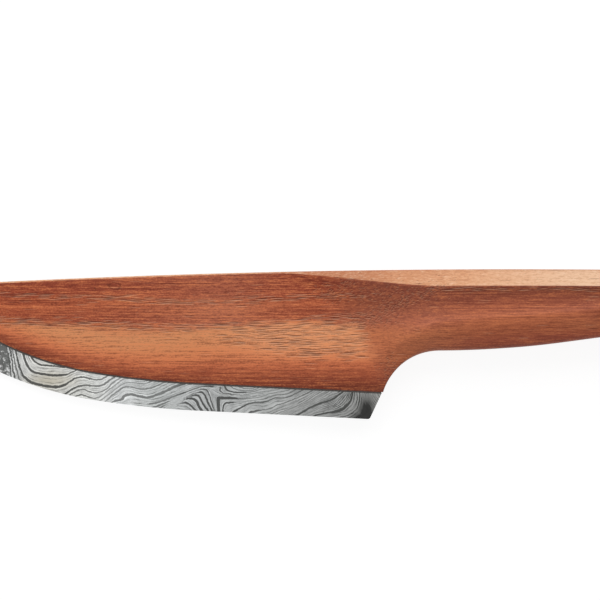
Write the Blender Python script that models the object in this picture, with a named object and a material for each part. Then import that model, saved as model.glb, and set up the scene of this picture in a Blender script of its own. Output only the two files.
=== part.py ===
"""Chef knife: a one-piece wooden body with a steel cutting strip let into its lower edge.

The knife lies on its side. +X runs from the tip to the butt of the handle, +Y from the cutting
edge to the spine, and +Z is up, square to the side of the blade. The shape is drawn from a datum
at the wood's heel corner, and the finished pieces are moved so that the origin is at the bottom
centre of the whole knife. Lengths are in metres and angles in degrees.
"""

from math import cos, radians, sin, sqrt, tan

import bmesh
import bpy
from mathutils import Vector

# Spine: one long arc from the tip to the butt.
CROWN_RADIUS = 3.5
CROWN_X = 0.0440
CROWN_HEIGHT = 0.04095

# Cutting edge: straight from the heel, then three arcs, each curving more, up to the tip.
STRIP_WIDTH = 0.0092
HEEL_RAKE = 0.0045
HEEL_SETBACK = 0.0009
HEEL_ANGLE = 2.8
EDGE_STRAIGHT = 0.0577
BELLY_RADIUS = 0.318
BELLY_END_ANGLE = 9.1
FRONT_RADIUS = 0.123
FRONT_END_ANGLE = 25.0
NOSE_RADIUS = 0.085
NOSE_END_ANGLE = 80.0
TIP_BLUNTNESS = 0.0006

# Underside: the finger notch, then the grip to the butt.
NOTCH_LENGTH = 0.0192
NOTCH_HEIGHT = 0.01387
NOTCH_RISE_ANGLE = 75.0
NOTCH_LOWER_PULL = 0.0044
NOTCH_UPPER_PULL = 0.0126
THROAT_X = 0.045
THROAT_HEIGHT = 0.0150
WAIST_X = 0.096
WAIST_HEIGHT = 0.0201
HANDLE_LENGTH = 0.150
BUTT_HEIGHT = 0.0132
THROAT_CLIMB = 0.75
BUTT_DROP = 1.5

# Half widths of the blade's body, square to its side.
LIP_HALF = 0.00145
BLADE_RIDGE_HALF = 0.0025
BLADE_HOLLOW_HALF = 0.00225
SPINE_HALF = 0.0021
SPINE_CREST_HALF = 0.0009
TIP_TAPER = 0.66

# Half widths of the handle.
BELLY_HALF = 0.0042
NECK_HALF = 0.0100
WAIST_HALF = 0.0088
BUTT_HALF = 0.0100
HANDLE_HOLLOW = 0.0007
HANDLE_CREST_HALF = 0.0016

# Lower bevel and upper facet, measured down the side.
BEVEL_RISE = 0.0070
SPINE_FACET_DROP = 0.0005
HANDLE_FACET_DROP = 0.0056

# Where the blade swells into the handle: it starts well ahead of the heel at the spine, at the
# heel itself at the lip, and ends over the finger notch.
SWELL_LEAD = 0.036
SWELL_BOW = 2.4
SWELL_END = 0.016

# Cutting strip and its hidden tongue.
SHOULDER_HALF = 0.00135
EDGE_HALF = 0.0001
BEVEL_WIDTH = 0.0011
BEVEL_HALF = 0.0003
TONGUE_HALF = 0.00045
TONGUE_HEIGHT = 0.0050
TONGUE_END_MARGIN = 0.010
KEY_COUNT = 6
KEY_LENGTH = 0.0034
KEY_DEPTH = 0.0026

# Fit between wood, steel and adhesive.
FIT_GAP = 0.0003
BEAD_HEIGHT = 0.0011

# Fineness of the surfaces.
STATION_STEP = 0.0040
NOTCH_STEPS = 12
FAN_STEPS = 6

BUTT_CHAMFER = 0.0012
WOOD_TIP_HEIGHT = 0.0014

GROOVE_HALF = TONGUE_HALF + FIT_GAP
GROOVE_DEPTH = TONGUE_HEIGHT + BEAD_HEIGHT + 2 * FIT_GAP
SHOULDER_REACH = STRIP_WIDTH - FIT_GAP


def clear_scene():
    for item in list(bpy.data.objects):
        bpy.data.objects.remove(item, do_unlink=True)


def ramp(value, low, high):
    """0 below low, 1 above high, and nearly straight between them."""
    part = min(1.0, max(0.0, (value - low) / (high - low)))
    return mix(part, part * part * (3 - 2 * part), 0.4)


def mix(first, second, share):
    return first + (second - first) * share


def along_points(points, x):
    """Height at x of the smooth curve through points, each (x, height, slope)."""
    for left, right in zip(points, points[1:]):
        if x <= right[0]:
            break
    span = right[0] - left[0]
    t = min(1.0, max(0.0, (x - left[0]) / span))
    rise = 3 * t * t - 2 * t**3
    lean_left = t * (1 - t) ** 2
    lean_right = t * t * (t - 1)
    return mix(left[1], right[1], rise) + span * (left[2] * lean_left + right[2] * lean_right)


# ---- outline ----


def crown_height(x):
    away = x - CROWN_X
    return CROWN_HEIGHT - (CROWN_RADIUS - sqrt(CROWN_RADIUS**2 - away**2))


def edge_start():
    """The heel's lower corner, placed so that the wood's lip runs through the datum."""
    lean = radians(HEEL_ANGLE)
    lip_x = -HEEL_RAKE + STRIP_WIDTH * sin(lean)
    return -HEEL_RAKE, -lip_x * tan(lean) - STRIP_WIDTH * cos(lean)


def edge_arcs():
    """The radius, end angle and length of each arc, in order from the straight to the tip."""
    arcs = []
    angle = radians(HEEL_ANGLE)
    for radius, end_angle in (
        (BELLY_RADIUS, BELLY_END_ANGLE),
        (FRONT_RADIUS, FRONT_END_ANGLE),
        (NOSE_RADIUS, NOSE_END_ANGLE),
    ):
        end = radians(end_angle)
        arcs.append((radius, end, radius * (end - angle)))
        angle = end
    return arcs


def edge_point(s):
    """The cutting edge at a distance s from the heel: x, y and the slope's angle."""
    x, y = edge_start()
    angle = radians(HEEL_ANGLE)
    straight = min(s, EDGE_STRAIGHT)
    x -= straight * cos(angle)
    y += straight * sin(angle)
    left = s - straight
    for radius, end, length in edge_arcs():
        if left <= 0:
            break
        turned = min(end, angle + left / radius)
        x -= radius * (sin(turned) - sin(angle))
        y += radius * (cos(angle) - cos(turned))
        angle = turned
        left -= length
    return x, y, angle


def inward(s, reach):
    """The point a given distance in from the edge, square to it."""
    x, y, angle = edge_point(s)
    return x + reach * sin(angle), y + reach * cos(angle)


def crossing(reach, below=0.0):
    """How far along the edge its offset comes up to the crown, less a given height."""
    low = EDGE_STRAIGHT
    high = low + sum(length for radius, end, length in edge_arcs())
    for _ in range(50):
        middle = (low + high) / 2
        x, y = inward(middle, reach)
        if y < crown_height(x) - below:
            low = middle
        else:
            high = middle
    return low


def notch_point(t):
    """The finger notch, one curve from the heel corner up to the grip."""
    lean = radians(NOTCH_RISE_ANGLE)
    ends = (
        Vector((0.0, 0.0)),
        Vector((NOTCH_LOWER_PULL * cos(lean), NOTCH_LOWER_PULL * sin(lean))),
        Vector((NOTCH_LENGTH - NOTCH_UPPER_PULL, NOTCH_HEIGHT)),
        Vector((NOTCH_LENGTH, NOTCH_HEIGHT)),
    )
    weights = ((1 - t) ** 3, 3 * t * (1 - t) ** 2, 3 * t * t * (1 - t), t**3)
    return sum((weight * end for weight, end in zip(weights, ends)), Vector((0.0, 0.0)))


def grip_height(x):
    rise = (WAIST_HEIGHT - THROAT_HEIGHT) / (WAIST_X - THROAT_X)
    points = (
        (NOTCH_LENGTH, NOTCH_HEIGHT, 0.0),
        (THROAT_X, THROAT_HEIGHT, THROAT_CLIMB * rise),
        (WAIST_X, WAIST_HEIGHT, 0.0),
        (HANDLE_LENGTH, BUTT_HEIGHT, -BUTT_DROP * rise),
    )
    return along_points(points, x)


def wood_stations():
    """(x, underside height) from the tip to the butt."""
    stations = []
    last = crossing(STRIP_WIDTH, below=WOOD_TIP_HEIGHT)
    count = round((last + HEEL_RAKE) / STATION_STEP)
    for step in range(count + 1):
        stations.append(inward(mix(last, 0.0, step / count), STRIP_WIDTH))
    stations += [tuple(notch_point(step / NOTCH_STEPS)) for step in range(NOTCH_STEPS + 1)]
    full_length = HANDLE_LENGTH - BUTT_CHAMFER
    count = round((full_length - NOTCH_LENGTH) / STATION_STEP)
    for step in range(1, count + 1):
        x = mix(NOTCH_LENGTH, full_length, step / count)
        stations.append((x, grip_height(x)))
    return stations


# ---- wooden body ----


def swell(x, y):
    """0 on the blade and 1 on the handle, starting along a line that bows from lip to spine."""
    share = min(1.0, max(0.0, y / CROWN_HEIGHT))
    return ramp(x, -SWELL_LEAD * share**SWELL_BOW, SWELL_END)


def handle_half(x):
    points = (
        (NOTCH_LENGTH, NECK_HALF, 0.0),
        (WAIST_X, WAIST_HALF, 0.0),
        (HANDLE_LENGTH, BUTT_HALF, 0.0),
    )
    return along_points(points, max(x, NOTCH_LENGTH))


def wood_section(x, low):
    """One side of the section at x, from its underside up to its crest, as (y, z)."""
    top = crown_height(x)
    height = top - low
    tip_x = inward(crossing(STRIP_WIDTH), STRIP_WIDTH)[0]
    taper = mix(1.0, TIP_TAPER, min(1.0, max(0.0, x / tip_x)))
    full = handle_half(x)
    bevel = min(BEVEL_RISE, 0.4 * height)
    drop = mix(SPINE_FACET_DROP, HANDLE_FACET_DROP, swell(x, top))
    drop = min(drop, 0.3 * height)
    ridge = low + bevel
    arris = top - drop
    rows = (
        (low, LIP_HALF, BELLY_HALF),
        (low + 0.45 * bevel, mix(LIP_HALF, BLADE_RIDGE_HALF, 0.55), mix(BELLY_HALF, full, 0.62)),
        (ridge, BLADE_RIDGE_HALF, full),
        (mix(ridge, arris, 0.25), mix(BLADE_RIDGE_HALF, BLADE_HOLLOW_HALF, 0.7), full - 0.7 * HANDLE_HOLLOW),
        (mix(ridge, arris, 0.5), BLADE_HOLLOW_HALF, full - HANDLE_HOLLOW),
        (mix(ridge, arris, 0.75), mix(BLADE_HOLLOW_HALF, SPINE_HALF, 0.5), full - 0.9 * HANDLE_HOLLOW),
        (arris, SPINE_HALF, full - 0.6 * HANDLE_HOLLOW),
        (top, SPINE_CREST_HALF, HANDLE_CREST_HALF),
    )
    points = []
    for y, blade, handle in rows:
        blade *= taper
        if y < arris:
            blade = max(blade, LIP_HALF)
        points.append((y, mix(blade, handle, swell(x, y))))
    return points


def loft(name, sections):
    """A closed skin through sections, each a ring of points with as many as the others."""
    mesh = bpy.data.meshes.new(name)
    shape = bmesh.new()
    rings = [[shape.verts.new(point) for point in section] for section in sections]
    for ring, following in zip(rings, rings[1:]):
        for a, b, c, d in zip(ring, ring[1:] + ring[:1], following[1:] + following[:1], following):
            shape.faces.new((a, b, c, d))
    shape.faces.new(rings[0])
    shape.faces.new(rings[-1])
    bmesh.ops.recalc_face_normals(shape, faces=shape.faces)
    shape.to_mesh(mesh)
    shape.free()
    item = bpy.data.objects.new(name, mesh)
    bpy.context.collection.objects.link(item)
    return item


def closed_ring(x, side):
    """Both sides of a section as one ring."""
    return [(x, y, z) for y, z in side] + [(x, y, -z) for y, z in reversed(side)]


def make_wood_body():
    sections = [closed_ring(x, wood_section(x, low)) for x, low in wood_stations()]
    side = wood_section(HANDLE_LENGTH, BUTT_HEIGHT)
    middle = (crown_height(HANDLE_LENGTH) + BUTT_HEIGHT) / 2
    kept_y = 1 - BUTT_CHAMFER / (middle - BUTT_HEIGHT)
    kept_z = 1 - BUTT_CHAMFER / BUTT_HALF
    end = [(mix(middle, y, kept_y), z * kept_z) for y, z in side]
    sections.append(closed_ring(HANDLE_LENGTH, end))
    return loft("wood_body", sections)


def cut(target, cutter, operation="DIFFERENCE"):
    cutter.hide_render = True
    cutter.display_type = "WIRE"
    change = target.modifiers.new(cutter.name, "BOOLEAN")
    change.operation = operation
    change.solver = "EXACT"
    change.object = cutter


# ---- swept along the strip ----


def tongue_span():
    """Where the tongue starts at the heel and ends near the tip, along the edge."""
    return TONGUE_END_MARGIN, crossing(STRIP_WIDTH) - 2 * TONGUE_END_MARGIN


def swept_bar(name, start, end, heights, half):
    """A bar along the strip. heights(s) gives its lower and upper reach from the edge."""
    count = max(2, round((end - start) / STATION_STEP))
    places = {round(mix(start, end, step / count), 6) for step in range(count + 1)}
    for centre in key_centres():
        for side in (-1, 1):
            wall = centre + side * KEY_LENGTH / 2
            places |= {round(place, 6) for place in (wall - FIT_GAP, wall, wall + FIT_GAP) if start < place < end}
    sections = []
    for s in sorted(places):
        low, high = heights(s)
        section = []
        for reach, z in ((low, half), (high, half), (high, -half), (low, -half)):
            x, y = inward(s, reach)
            section.append((x, y, z))
        sections.append(section)
    return loft(name, sections)


def key_centres():
    start, end = tongue_span()
    return [mix(start, end, (number + 0.5) / KEY_COUNT) for number in range(KEY_COUNT)]


def key_share(s, clearance):
    """1 inside a key's notch made wider all round by clearance, 0 outside it, ramped between."""
    nearest = min(abs(s - centre) for centre in key_centres())
    return 1.0 - min(1.0, max(0.0, (nearest - KEY_LENGTH / 2 - clearance) / FIT_GAP + 1.0))


def tongue_heights(s):
    top = STRIP_WIDTH + TONGUE_HEIGHT - KEY_DEPTH * key_share(s, FIT_GAP)
    return SHOULDER_REACH - BEVEL_WIDTH, top


def bead_heights(s):
    low = STRIP_WIDTH + TONGUE_HEIGHT + FIT_GAP - KEY_DEPTH * key_share(s, -FIT_GAP)
    return low, STRIP_WIDTH + TONGUE_HEIGHT + FIT_GAP + BEAD_HEIGHT


def groove_heights(s):
    return SHOULDER_REACH - BEVEL_WIDTH, STRIP_WIDTH + GROOVE_DEPTH


def make_groove():
    start, end = tongue_span()
    return swept_bar("groove", start - FIT_GAP, end + FIT_GAP, groove_heights, GROOVE_HALF)


def make_tongue():
    return swept_bar("tongue", *tongue_span(), tongue_heights, TONGUE_HALF)


def make_adhesive_bed():
    start, end = tongue_span()
    return swept_bar("adhesive_bed", start + FIT_GAP, end - FIT_GAP, bead_heights, TONGUE_HALF)


def strip_lines():
    """Pairs of points across the strip, edge and shoulder, from the heel to the tip."""
    lines = []
    fan = 2 * HEEL_RAKE
    for step in range(FAN_STEPS):
        share = step / FAN_STEPS
        back = (HEEL_RAKE - HEEL_SETBACK) * (1 - share)
        lines.append((edge_point(share * fan)[:2], inward(share * fan - back, SHOULDER_REACH)))
    meeting = crossing(SHOULDER_REACH)
    tip = crossing(0.0)
    count = round((meeting - fan) / STATION_STEP)
    for step in range(count + 1):
        s = mix(fan, meeting, step / count)
        lines.append((edge_point(s)[:2], inward(s, SHOULDER_REACH)))
    top_x = lines[-1][1][0]
    tip_x = edge_point(tip)[0]
    for step in range(1, FAN_STEPS + 1):
        share = step / FAN_STEPS
        blunt = TIP_BLUNTNESS * share
        x = mix(top_x, tip_x + blunt, share)
        edge = edge_point(mix(meeting, tip, share) - blunt)[:2]
        lines.append((edge, (x, crown_height(x))))
    return lines


def make_cutting_strip():
    sections = []
    for edge, shoulder in strip_lines():
        edge = Vector(edge)
        across = Vector(shoulder) - edge
        share = across.length / SHOULDER_REACH
        bevel = min(BEVEL_WIDTH, 0.4 * across.length)
        thick = mix(BEVEL_HALF, SHOULDER_HALF, min(1.0, share))
        side = [(edge, EDGE_HALF), (edge + across * (bevel / across.length), BEVEL_HALF),
                (edge + across, thick)]
        ring = [(*place, z) for place, z in side] + [(*place, -z) for place, z in reversed(side)]
        sections.append(ring)
    return loft("cutting_strip", sections)


# ---- finish and placing ----


def give_material(item, name, colour, roughness, metallic):
    material = bpy.data.materials.new(name)
    material.use_nodes = True
    shader = material.node_tree.nodes["Principled BSDF"]
    shader.inputs["Base Color"].default_value = (*colour, 1.0)
    shader.inputs["Roughness"].default_value = roughness
    shader.inputs["Metallic"].default_value = metallic
    material.diffuse_color = (*colour, 1.0)
    item.data.materials.append(material)


def place_on_origin(items):
    """Move the whole knife so that the bottom centre of its box is at the origin."""
    points = [vertex.co for item in items for vertex in item.data.vertices]
    low = Vector([min(point[axis] for point in points) for axis in range(3)])
    high = Vector([max(point[axis] for point in points) for axis in range(3)])
    centre = (low + high) / 2
    assembly = bpy.data.objects.new("chef_knife", None)
    bpy.context.collection.objects.link(assembly)
    assembly.location = (-centre.x, -centre.y, -low.z)
    for item in items:
        item.parent = assembly


def main():
    clear_scene()
    wood = make_wood_body()
    strip = make_cutting_strip()
    bed = make_adhesive_bed()
    groove = make_groove()
    tongue = make_tongue()
    cut(wood, groove)
    cut(strip, tongue, "UNION")
    give_material(wood, "red_brown_hardwood", (0.36, 0.12, 0.06), 0.45, 0.0)
    give_material(strip, "pattern_welded_steel", (0.42, 0.42, 0.42), 0.38, 1.0)
    give_material(bed, "dark_adhesive", (0.03, 0.025, 0.02), 0.5, 0.0)
    place_on_origin([wood, strip, bed, groove, tongue])


main()
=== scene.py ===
from functools import partial
from math import cos, pi, radians, sin

import bpy
import numpy as np
from mathutils import Matrix, Vector


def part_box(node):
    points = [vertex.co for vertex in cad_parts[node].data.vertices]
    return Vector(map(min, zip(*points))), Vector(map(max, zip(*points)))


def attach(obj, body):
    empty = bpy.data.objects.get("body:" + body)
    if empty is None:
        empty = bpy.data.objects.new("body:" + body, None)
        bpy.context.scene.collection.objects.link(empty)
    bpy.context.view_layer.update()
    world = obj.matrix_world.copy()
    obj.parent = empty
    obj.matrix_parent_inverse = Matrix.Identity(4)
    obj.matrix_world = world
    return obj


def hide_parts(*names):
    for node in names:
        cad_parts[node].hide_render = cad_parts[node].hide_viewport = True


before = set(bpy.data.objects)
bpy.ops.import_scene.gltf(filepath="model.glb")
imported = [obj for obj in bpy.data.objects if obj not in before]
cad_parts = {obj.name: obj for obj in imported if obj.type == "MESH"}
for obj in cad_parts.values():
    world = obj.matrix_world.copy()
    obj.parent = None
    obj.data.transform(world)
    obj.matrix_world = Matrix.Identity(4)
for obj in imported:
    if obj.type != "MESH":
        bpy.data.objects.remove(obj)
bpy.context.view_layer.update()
print("frame loaded")

mm = 0.001
sharpCorner = radians(50)

# The knife's outline, from the wood's heel corner, with the blade's tip toward -x: the spine is one long
# arc, and the edge is a straight and three arcs.
outline = {
    "crownRadius": 3500 * mm,
    "crownX": 44.0 * mm,
    "crownHeight": 40.95 * mm,
    "stripWidth": 9.2 * mm,
    "heelRake": 4.5 * mm,
    "heelSetback": 0.9 * mm,
    "heelAngle": 2.8,
    "edgeStraight": 57.7 * mm,
    # each arc's radius and the angle at which it ends
    "edgeArcs": [(318 * mm, 9.1), (123 * mm, 25.0), (85 * mm, 80.0)],
    "notchEnd": (19.2 * mm, 13.87 * mm),
    "notchAngle": 75.0,
    "notchPulls": (4.4 * mm, 12.6 * mm),
    "throat": (45.0 * mm, 15.0 * mm),
    "waist": (96.0 * mm, 20.1 * mm),
    # the underside's slope at the throat and at the butt, as shares of its rise from throat to waist
    "throatLean": 0.75,
    "buttLean": -1.5,
    "handleLength": 150.0 * mm,
    "buttHeight": 13.2 * mm,
    "bondGap": 0.3 * mm,
}

woodLow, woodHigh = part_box("wood_body")
stripLow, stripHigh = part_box("cutting_strip")
heelCorner = Vector((
    woodHigh.x - outline["handleLength"],
    woodHigh.y - outline["crownHeight"],
    (woodLow.z + woodHigh.z) / 2,
))


def linear(hexColour):
    parts = [int(hexColour[i:i + 2], 16) / 255 for i in (1, 3, 5)]
    return [p / 12.92 if p <= 0.04045 else ((p + 0.055) / 1.055) ** 2.4 for p in parts] + [1.0]


def mix(first, second, share):
    return first + (second - first) * share


def smooth(value, low, high):
    part = np.clip((value - low) / (high - low), 0, 1)
    return part * part * (3 - 2 * part)


def through(points, x):  # a smooth curve through a few points, flat past both ends
    px, py = np.array(points, float).T
    slope = np.gradient(py, px)
    slope[0] = slope[-1] = 0
    x = np.clip(x, px[0], px[-1])
    i = np.clip(np.searchsorted(px, x) - 1, 0, len(px) - 2)
    span = px[i + 1] - px[i]
    t = (x - px[i]) / span
    lean = slope[i] * t * (1 - t) ** 2 + slope[i + 1] * t * t * (t - 1)
    return mix(py[i], py[i + 1], 3 * t**2 - 2 * t**3) + span * lean


def crownY(x):
    radius = outline["crownRadius"]
    return outline["crownHeight"] - (radius - np.sqrt(radius**2 - (x - outline["crownX"]) ** 2))


def edgeAt(s):  # the cutting edge at a distance s from the heel: x, y, angle
    angle = radians(outline["heelAngle"])
    lipX = -outline["heelRake"] + outline["stripWidth"] * sin(angle)
    x = -outline["heelRake"]
    y = -lipX * sin(angle) / cos(angle) - outline["stripWidth"] * cos(angle)
    straight = min(s, outline["edgeStraight"])
    x -= straight * cos(angle)
    y += straight * sin(angle)
    left = s - straight
    for radius, endAngle in outline["edgeArcs"]:
        if left <= 0:
            break
        end = radians(endAngle)
        turned = min(end, angle + left / radius)
        x -= radius * (sin(turned) - sin(angle))
        y += radius * (cos(angle) - cos(turned))
        left -= radius * (end - angle)
        angle = turned
    return x, y, angle


def inward(s, reach):  # a point in from the edge, square to it
    x, y, angle = edgeAt(s)
    return x + reach * sin(angle), y + reach * cos(angle)


def crossing(reach, below=0.0):  # where an offset of the edge comes up to the spine, found by halving
    low, high = outline["edgeStraight"], outline["edgeStraight"] + 300 * mm
    steepest = radians(outline["edgeArcs"][-1][1] - 1)
    for _ in range(45):
        middle = (low + high) / 2
        x, y = inward(middle, reach)
        if y < crownY(x) - below and edgeAt(middle)[2] < steepest:
            low = middle
        else:
            high = middle
    return low


def skin(name, rings, values):  # a closed skin over a grid of points, with painted values at each
    rings = np.asarray(rings, float)
    count, around = rings.shape[:2]
    first = np.arange(count - 1)[:, None] * around
    step = np.arange(around)[None, :]
    after = (step + 1) % around
    faces = np.stack([first + step, first + after, first + around + after, first + around + step], axis=-1)
    faces = [tuple(face) for face in faces.reshape(-1, 4).tolist()]
    faces.append(tuple(range(around - 1, -1, -1)))
    faces.append(tuple((count - 1) * around + k for k in range(around)))
    mesh = bpy.data.meshes.new(name)
    mesh.from_pydata((rings.reshape(-1, 3) + np.array(heelCorner)).tolist(), [], faces)
    for key, value in values.items():
        layer = mesh.attributes.new(key, "FLOAT", "POINT")
        layer.data.foreach_set("value", np.asarray(value, np.float32).reshape(-1))
    mesh.shade_smooth()
    mesh.set_sharp_from_angle(angle=sharpCorner)
    piece = bpy.data.objects.new(name, mesh)
    bpy.context.scene.collection.objects.link(piece)
    return piece


# The wooden body: blade carrier and handle, shaped from one plank.
wood = {
    "lipHalf": 1.45 * mm,
    "ridgeHalf": 2.5 * mm,
    "spineHalf": 2.1 * mm,
    "spineCrestHalf": 1.1 * mm,
    "bladeHollow": 0.12 * mm,
    "tipTaper": 0.66,
    "bellyHalf": 4.2 * mm,
    "neckHalf": 10.0 * mm,
    "waistHalf": 8.8 * mm,
    "buttHalf": 10.0 * mm,
    "arrisInset": 0.45 * mm,
    "handleHollow": 0.7 * mm,
    "crestHalf": 1.6 * mm,
    "spineDrop": 0.45 * mm,
    "handleDrop": 5.5 * mm,
    "swellLead": 36.0 * mm,
    "swellBow": 2.4,
    "swellEase": 0.45,
    "swellEnd": 17.0 * mm,
    "tipHeight": 1.4 * mm,
    "buttChamfer": 1.2 * mm,
    # how far the soft ridge runs above the underside, from the tip to the butt
    "ridgeRise": [(-0.150, 0.0030), (-0.118, 0.0044), (-0.094, 0.0038), (-0.061, 0.0050), (-0.030, 0.0058),
                  (-0.010, 0.0074), (0.0, 0.0100), (0.0056, 0.0069), (0.012, 0.0058), (0.019, 0.0066),
                  (0.032, 0.0073), (0.069, 0.0068), (0.100, 0.0064), (0.150, 0.0075)],
    # how the points of a half section are shared out, from the underside to the crest
    "flatSteps": (3, 9, 30, 9, 3),
    "cornerSteps": 6,
    # the most of a flat that a corner's rounding takes, and how evenly the flank is hollowed
    "cornerShare": 0.45,
    "hollowSpread": 0.8,
    # the outline's steps along the lip, round the notch and along the grip
    "lipSteps": 190,
    "notchSteps": 46,
    "gripSteps": 150,
    "bladeCorners": (0.12 * mm, 2.0 * mm, 0.3 * mm, 0.35 * mm),
    "handleCorners": (2.6 * mm, 3.2 * mm, 0.45 * mm, 0.6 * mm),
    # lines along the blade in mm: the pale zone's top, two rings of thick pores, a patch's lower side
    "paleTop": [(-165, 30), (-127, 23.3), (-94, 22.3), (-78, 21.2), (-61, 21.3), (-43, 22.6), (-25, 23.6),
                (-10, 22.4)],
    "ringLine": [(-165, 31), (-127, 23.5), (-94, 22.4), (-78, 21.0), (-61, 20.8), (-43, 21.5), (-8, 24.5)],
    "upperLine": [(-165, 36), (-127, 32.6), (-94, 31.6), (-61, 29.9), (-43, 30.6), (-20, 32)],
    "patchLow": [(-165, 18), (-62, 18), (-45, 15), (-30, 12), (0, 11)],
    # the slanting band of flecks in mm and degrees: middle, slant, half length, half width and share
    "fleckBand": (6, 29.7, 22, 17, 2.0, 0.95),
    # patches of flecks in mm: middle, half length, half height and share
    "fleckPatches": [(-4, 24.5, 8, 2.4, 0.9), (-12, 36, 4, 1.4, 0.9), (-17, 33, 7, 3, 0.6),
                     (4, 33, 16, 5, 0.35), (3, 8.5, 3, 4, 0.8)],
}


def swell(x, y):  # 0 on the blade, 1 on the handle
    share = np.clip(y / outline["crownHeight"], 0, 1)
    start = -wood["swellLead"] * share ** wood["swellBow"]
    part = np.clip((x - start) / (wood["swellEnd"] - start), 0, 1)
    return mix(part, part * part * (3 - 2 * part), wood["swellEase"])


def notchPoint(t):
    lean = radians(outline["notchAngle"])
    lower, upper = outline["notchPulls"]
    endX, endY = outline["notchEnd"]
    corners = ((0, 0), (lower * cos(lean), lower * sin(lean)), (endX - upper, endY), (endX, endY))
    weights = ((1 - t) ** 3, 3 * t * (1 - t) ** 2, 3 * t * t * (1 - t), t**3)
    return tuple(sum(w * c[axis] for w, c in zip(weights, corners)) for axis in (0, 1))


def gripY(x):
    (notchX, notchY), (throatX, throatY), (waistX, waistY) = (
        outline[key] for key in ("notchEnd", "throat", "waist"))
    rise = (waistY - throatY) / (waistX - throatX)
    ends = [(notchX, notchY, 0), (throatX, throatY, outline["throatLean"] * rise), (waistX, waistY, 0),
            (outline["handleLength"], outline["buttHeight"], outline["buttLean"] * rise)]
    for left, right in zip(ends, ends[1:]):
        if x <= right[0]:
            break
    span = right[0] - left[0]
    t = (x - left[0]) / span
    lean = left[2] * t * (1 - t) ** 2 + right[2] * t * t * (t - 1)
    return mix(left[1], right[1], 3 * t * t - 2 * t**3) + span * lean


def undersidePoints():  # along the lip from the tip, round the notch and along the grip
    width = outline["stripWidth"]
    tip = crossing(width, below=wood["tipHeight"])
    points = [inward(s, width) for s in np.linspace(tip, 0, wood["lipSteps"])]
    points += [notchPoint(t) for t in np.linspace(0, 1, wood["notchSteps"])]
    butt = outline["handleLength"] - wood["buttChamfer"]
    points += [(x, gripY(x)) for x in np.linspace(outline["notchEnd"][0], butt, wood["gripSteps"])[1:]]
    return np.array(points)


def halfSection(low, ridge, arris, top, halves, rounding, hollow):
    # from the underside's middle to the crest, each corner rounded and the flank a little hollow
    zero = np.zeros_like(low)
    outs = (zero, *halves, zero)
    corners = [np.stack([y, z + zero], axis=-1) for y, z in zip((low, low, ridge, arris, top, top), outs)]
    lengths = [np.linalg.norm(b - a, axis=-1, keepdims=True) for a, b in zip(corners, corners[1:])]
    rows = []
    leave = zero[:, None]
    for i, steps in enumerate(wood["flatSteps"]):
        along = (corners[i + 1] - corners[i]) / np.maximum(lengths[i], 1e-9)
        arrive = zero[:, None]
        if i < 4:
            arrive = np.minimum(rounding[i], wood["cornerShare"] * np.minimum(lengths[i], lengths[i + 1]))
        for t in np.linspace(0, 1, steps + 1)[(0 if i == 0 else 1):]:
            place = corners[i] + along * mix(leave, lengths[i] - arrive, t)
            if i == 2:
                sunk = hollow * sin(pi * t) ** wood["hollowSpread"]
                place = place - np.stack([zero, sunk + zero], axis=-1)
            rows.append(place)
        if i < 4:
            after = (corners[i + 2] - corners[i + 1]) / np.maximum(lengths[i + 1], 1e-9)
            before = corners[i + 1] - along * arrive
            beyond = corners[i + 1] + after * arrive
            for t in np.linspace(0, 1, wood["cornerSteps"] + 1)[1:]:
                rows.append((1 - t) ** 2 * before + 2 * t * (1 - t) * corners[i + 1] + t * t * beyond)
        leave = arrive
    return np.stack(rows, axis=1)


def sectionPlace():  # each row's place: 0 under the middle, 1 on the ridge, 2 on the arris, 3 on the crest
    ends = [0]
    for steps in wood["flatSteps"][:-1]:
        ends += [ends[-1] + steps + wood["cornerSteps"]]
    middles = [end - wood["cornerSteps"] / 2 for end in ends[1:]]
    last = ends[-1] + wood["flatSteps"][-1]
    return np.interp(np.arange(last + 1), [0, *middles, last], [0, 0.3, 1, 2, 2.8, 3])


def paleWood(x, y):  # in mm, how far inside the pale lower zone of the blade a point is
    endOfZone = -1.2 - 0.0135 * y**2
    return np.clip(np.minimum(through(wood["paleTop"], x) - y, 0.45 * (endOfZone - x)), -4, 4)


def poreShare(x, y):  # where the pores lie thick
    # two ring lines, a wavy patch before the swell, and a line under the arris
    onLine = 1.3 * np.exp(-((y - through(wood["ringLine"], x) - 0.6) / 1.2) ** 2)
    onUpper = np.exp(-((y - through(wood["upperLine"], x)) / 0.9) ** 2)
    patchLow = through(wood["patchLow"], x)
    inPatch = smooth(x, -62, -40) * smooth(-x, 4, 7)
    inPatch = inPatch * smooth(y, patchLow - 1.5, patchLow + 1.5) * smooth(-y, -24, -22)
    onBlade = (onLine + onUpper + 0.78 * inPatch) * smooth(-x, -2, 10)
    underArris = 0.85 * np.exp(-((y - 34.4) / 0.7) ** 2) * smooth(x, 12, 22) * smooth(-x, -85, -60)
    return np.clip(0.02 + onBlade + underArris, 0, 1)


def fleckShare(x, y):  # where the swell cuts across the fibres, whose ends show as flecks
    atX, atY, slant, long, high, full = wood["fleckBand"]
    slant = radians(slant)
    along = (x - atX) * cos(slant) + (y - atY) * sin(slant)
    aside = (y - atY) * cos(slant) - (x - atX) * sin(slant)
    share = full * np.exp(-(np.abs(along) / long) ** 4 - (aside / high) ** 2)
    for atX, atY, long, high, full in wood["fleckPatches"]:
        share = np.maximum(share, full * np.exp(-((x - atX) / long) ** 2 - ((y - atY) / high) ** 2))
    return share


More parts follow.
